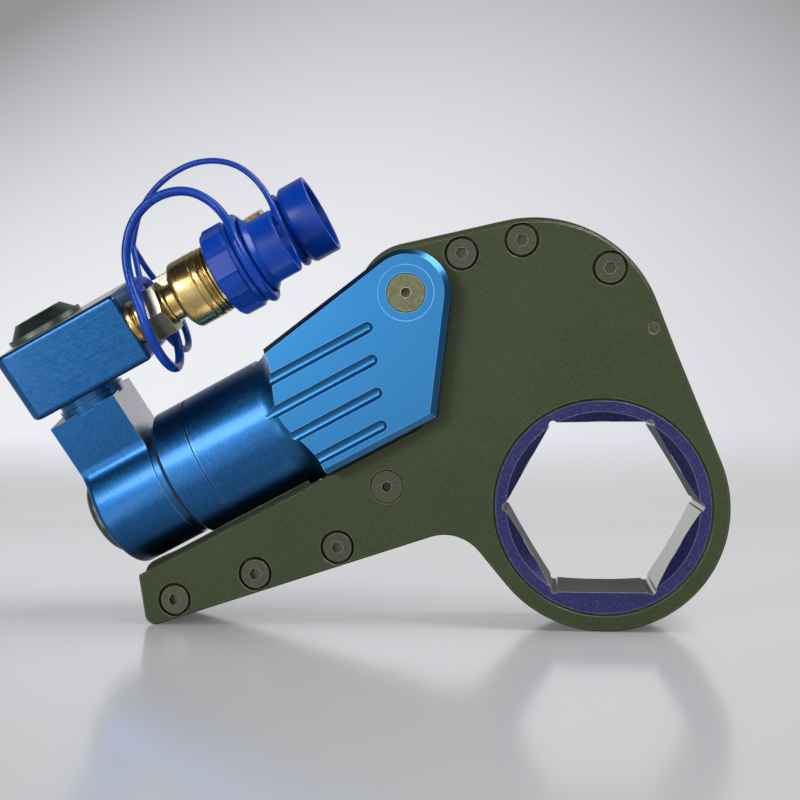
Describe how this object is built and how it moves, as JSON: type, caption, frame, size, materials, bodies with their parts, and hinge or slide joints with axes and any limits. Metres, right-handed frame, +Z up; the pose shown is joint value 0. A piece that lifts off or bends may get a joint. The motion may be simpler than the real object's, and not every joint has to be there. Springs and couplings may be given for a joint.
{
  "type": "hydraulic torque wrench",
  "caption": "Low-profile hydraulic torque wrench: hex ratchet link with a reaction arm, blue power head and cylinder, swivel manifold with brass couplers, tethered dust caps.",
  "frame": {"origin": "centre of the hex socket, on the middle plane of the link", "axes": "+Y along the turning axis, from the side the picture shows to the far side; +X from the hex to the nose, away from the reaction arm; +Z up, with the link standing on its rounded nose"},
  "size_m": [0.2625, 0.0781, 0.1743],
  "materials": {
    "plate_finish": "dark olive-green coating with a fine speckle",
    "screw_finish": "satin olive-grey steel screws and pins",
    "pin_finish": "turned steel with a gold-olive plating",
    "bright_steel": "ground steel",
    "hardened_steel": "dark heat-treated steel",
    "spring_steel": "drawn spring wire",
    "ratchet_finish": "violet-blue coated steel with a fine speckle",
    "blue_anodised": "blue anodised aluminium with a fine turned grain",
    "cap_finish": "turned steel with a dark olive plating",
    "black_seal": "black rubber",
    "gland_bronze": "bearing bronze",
    "coupler_brass": "polished brass",
    "nut_finish": "plated steel hex nuts with an olive tint",
    "blue_plastic": "satin royal-blue moulded plastic"
  },
  "bodies": {
    "link": {"side_plate_front": "plate_finish", "side_plate_rear": "plate_finish", "shroud": "plate_finish", "arm_spacer": "plate_finish", "plate_screws": "screw_finish", "dowel_pins": "screw_finish", "link_pin": "pin_finish", "reaction_pin": "screw_finish", "reaction_washer": "bright_steel", "reaction_spring": "spring_steel", "cylinder_body": "blue_anodised", "link_pin_bushes": "blue_anodised", "end_plug": "bright_steel", "spindle_seals": "black_seal", "swivel_retainer": "cap_finish", "rod_gland": "gland_bronze", "rod_seal": "black_seal"},
    "ratchet": {"hex_ratchet": "ratchet_finish"},
    "drive_lever": {"lever_plate_front": "hardened_steel", "lever_plate_rear": "hardened_steel", "drive_pin": "bright_steel", "pawl_pin": "bright_steel", "lever_standoff": "bright_steel", "drive_pawl_spring": "spring_steel"},
    "drive_pawl": {"drive_pawl": "hardened_steel"},
    "reaction_pawl": {"reaction_pawl": "hardened_steel"},
    "piston": {"piston": "bright_steel", "piston_seal": "black_seal", "piston_rod": "hardened_steel"},
    "swivel": {"swivel_block": "blue_anodised", "tee_post": "bright_steel", "post_seals": "black_seal", "post_cap": "cap_finish"},
    "manifold": {"manifold_block": "blue_anodised", "coupler_adapters": "coupler_brass", "adapter_nuts": "nut_finish", "front_coupler": "coupler_brass", "rear_coupler": "coupler_brass", "front_poppet": "bright_steel", "rear_poppet": "bright_steel", "cap_tether": "blue_plastic", "plug_tether": "blue_plastic"},
    "dust_cap": {"dust_cap": "blue_plastic"},
    "dust_plug": {"dust_plug": "blue_plastic"}
  },
  "joints": [
    {"name": "ratchet_turn", "type": "hinge", "parent": "link", "child": "ratchet", "pos_m": [0, 0, 0], "axis": [0, 1, 0], "continuous": true},
    {"name": "piston_stroke", "type": "slide", "parent": "link", "child": "piston", "axis": [0.891, 0, 0.454], "range_m": [0, 0.0341]},
    {"name": "lever_swing", "type": "hinge", "parent": "link", "child": "drive_lever", "pos_m": [0, 0, 0], "axis": [0, 1, 0], "range_deg": [0, 24]},
    {"name": "drive_pawl_lift", "type": "hinge", "parent": "drive_lever", "child": "drive_pawl", "pos_m": [-0.02468, 0, 0.05272], "axis": [0, 1, 0], "range_deg": [0, 3], "stiffness_Nm_per_rad": 0.3, "springref_deg": -17.19, "deforming": ["drive_pawl_spring"]},
    {"name": "reaction_pawl_lift", "type": "hinge", "parent": "link", "child": "reaction_pawl", "pos_m": [-0.0767, 0, 0.0073], "axis": [0, -1, 0], "range_deg": [0, 8], "stiffness_Nm_per_rad": 0.3, "springref_deg": -17.19, "deforming": ["reaction_spring"]},
    {"name": "swivel_turn", "type": "hinge", "parent": "link", "child": "swivel", "pos_m": [-0.17051, 0, 0.00425], "axis": [0.891, 0, 0.454], "range_deg": [-128, 92]},
    {"name": "manifold_turn", "type": "hinge", "parent": "swivel", "child": "manifold", "pos_m": [-0.19677, -0.01879, 0.05577], "axis": [-0.4318, -0.309, 0.8474], "range_deg": [-90, 90]},
    {"name": "dust_cap_pull", "type": "slide", "parent": "manifold", "child": "dust_cap", "axis": [0.891, 0, 0.454], "range_m": [0, 0.025], "deforming": ["cap_tether"]},
    {"name": "dust_plug_pull", "type": "slide", "parent": "manifold", "child": "dust_plug", "axis": [0.891, 0, 0.454], "range_m": [0, 0.025], "deforming": ["plug_tether"]}
  ],
  "couplings": [
    {"joint": "lever_swing", "follows": "piston_stroke", "rad_per_m": 12.269}
  ]
}
